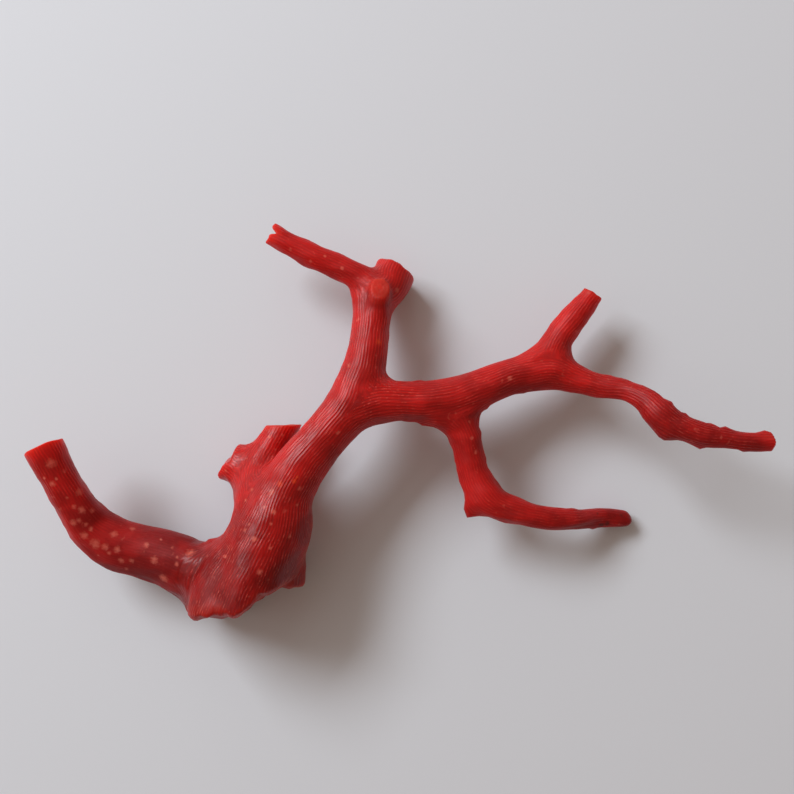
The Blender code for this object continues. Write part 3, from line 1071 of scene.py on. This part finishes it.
height_mm = CAMERA_HEIGHT * 1000
pixels_per_slope = PICTURE_SIDE * LENS / SENSOR
slopes = points[:, :2] / (height_mm - points[:, 2:])
seen = PICTURE_SIDE / 2 + pixels_per_slope * slopes * (1, -1)


def on_skin(left, top, radius):
    """A spot's place in mm and its radius, from those in the picture: its height is that of the highest
    point seen near it, and it lies where the line of sight comes down to that height."""
    squared = ((seen - (left, top)) ** 2).sum(1)
    height = points[squared < max(NEAR_SQUARED, 1.5 * squared.min() + 2), 2].max()
    scale = (height_mm - height) / pixels_per_slope
    middle = PICTURE_SIDE / 2
    return ((left - middle) * scale, (middle - top) * scale, height), radius * scale


def spotted(spots):
    """How far a point is inside the nearest spot: the greatest, over the spots, of one less its distance
    from the spot's middle in radii, with the edges made uneven by noise."""
    deepest = -1.0
    for spot in spots:
        middle, radius = on_skin(*spot)
        distance = nodes.new("ShaderNodeVectorMath")
        distance.operation = "DISTANCE"
        put(place, distance.inputs[0])
        distance.inputs[1].default_value = np.array(middle) * 0.001 + AXES_ZERO
        inside = worked("MULTIPLY_ADD", distance.outputs["Value"], -1000 / radius)
        inside.node.inputs[2].default_value = 1.0
        deepest = worked("MAXIMUM", deepest, inside)
    uneven = worked("MULTIPLY", worked("SUBTRACT", noise(place, SPOT_EDGES_PER_METRE, 2), 0.5), SPOT_WAVER)
    return ramp(worked("ADD", deepest, uneven), -0.5, 0.9)


SPOT_PALE = (0.66, 0.16, 0.11)
SPOT_ORANGE = (0.66, 0.06, 0.012)
SPECK_DARK = (0.04, 0.010, 0.008)
FINE_SPOTS_PER_METRE = 1300
FINE_SPOT_SHARE = 0.35
PALE_SHARE = 0.62
ORANGE_SHARE = 0.7
SPECK_SHARE = 0.85
fine_spots = ramp(noise(place, FINE_SPOTS_PER_METRE, 1), 0.68, 0.80)
pale_spots = worked("MAXIMUM", spotted(PALE_SPOTS), worked("MULTIPLY", fine_spots, FINE_SPOT_SHARE))
marked = blend(worked("MULTIPLY", pale_spots, PALE_SHARE), grooved, SPOT_PALE)
marked = blend(worked("MULTIPLY", spotted(ORANGE_SPOTS), ORANGE_SHARE), marked, SPOT_ORANGE)
marked = blend(worked("MULTIPLY", spotted(DARK_SPECKS), SPECK_SHARE), marked, SPECK_DARK)

# A cut shows the year rings, each as deep under the skin all round, and a darker core.

CUT_ORANGE = (0.56, 0.028, 0.010)
CORE_RED = (0.36, 0.010, 0.006)
RING_PINK = (0.62, 0.075, 0.035)
CORE_SHARE = 0.5
RING_SHARE = 0.35
RING_RELIEF = 0.6
RING_SPACING = 0.55
RING_WAVERS_PER_METRE = 700
RING_WAVER = 9.0
below = attribute("below_skin").outputs["Fac"]
ring_phase = worked("MULTIPLY", below, 2 * pi / RING_SPACING)
waver = worked("MULTIPLY", noise(place, RING_WAVERS_PER_METRE, 2), RING_WAVER)
rings = worked("SINE", worked("ADD", ring_phase, waver), 0.0)
cut_colour = blend(worked("MULTIPLY", ramp(below, 0.8, 4.5), CORE_SHARE), CUT_ORANGE, CORE_RED)
cut_colour = blend(worked("MULTIPLY", ramp(rings, -0.2, 1.0), RING_SHARE), cut_colour, RING_PINK)
links.new(blend(sawn, marked, cut_colour), red_shader.inputs["Base Color"])

# The crests shine more than the grooves, and the worn parts more than the rough ones. Light goes a few
# millimetres into the lime. Streaks and grain too fine for the mesh only bend the light.

CREST_ROUGHNESS = 0.29
GROOVE_ROUGHNESS = 0.38
DULLNESS = 0.32
GRAINS_PER_METRE = 9000
FINE_DEPTH = 0.00002
gloss = ramp(crest, 0.2, 0.9, GROOVE_ROUGHNESS, CREST_ROUGHNESS)
dull = ramp(polished, 0.0, 1.0, DULLNESS, 0.0)
links.new(worked("ADD", gloss, dull), red_shader.inputs["Roughness"])
red_shader.inputs["Specular IOR Level"].default_value = 0.25
red_shader.inputs["Sheen Weight"].default_value = 0.03
red_shader.inputs["Sheen Roughness"].default_value = 0.35
red_shader.inputs["Sheen Tint"].default_value = (1.0, 0.80, 0.78, 1)
red_shader.inputs["Subsurface Weight"].default_value = 0.7
red_shader.inputs["Subsurface Radius"].default_value = (1.0, 0.12, 0.08)
red_shader.inputs["Subsurface Scale"].default_value = 0.0055
streak_bump = nodes.new("ShaderNodeBump")
streak_bump.inputs["Strength"].default_value = 0.8
streak_bump.inputs["Distance"].default_value = FINE_DEPTH
put(streaks, streak_bump.inputs["Height"])
grain_bump = nodes.new("ShaderNodeBump")
grain_bump.inputs["Strength"].default_value = 0.3
grain_bump.inputs["Distance"].default_value = FINE_DEPTH
raised_rings = worked("MULTIPLY", worked("MULTIPLY", rings, sawn), RING_RELIEF)
put(worked("ADD", noise(place, GRAINS_PER_METRE, 3), raised_rings), grain_bump.inputs["Height"])
put(streak_bump.outputs["Normal"], grain_bump.inputs["Normal"])
links.new(grain_bump.outputs["Normal"], red_shader.inputs["Normal"])
grown.materials.clear()
grown.materials.append(red)

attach(coral, "root")
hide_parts("base_trunk", "left_arm", "forked_stub", "upper_stem", "upper_left_twig",
            "right_branch", "right_stub", "right_twig", "lower_twig")
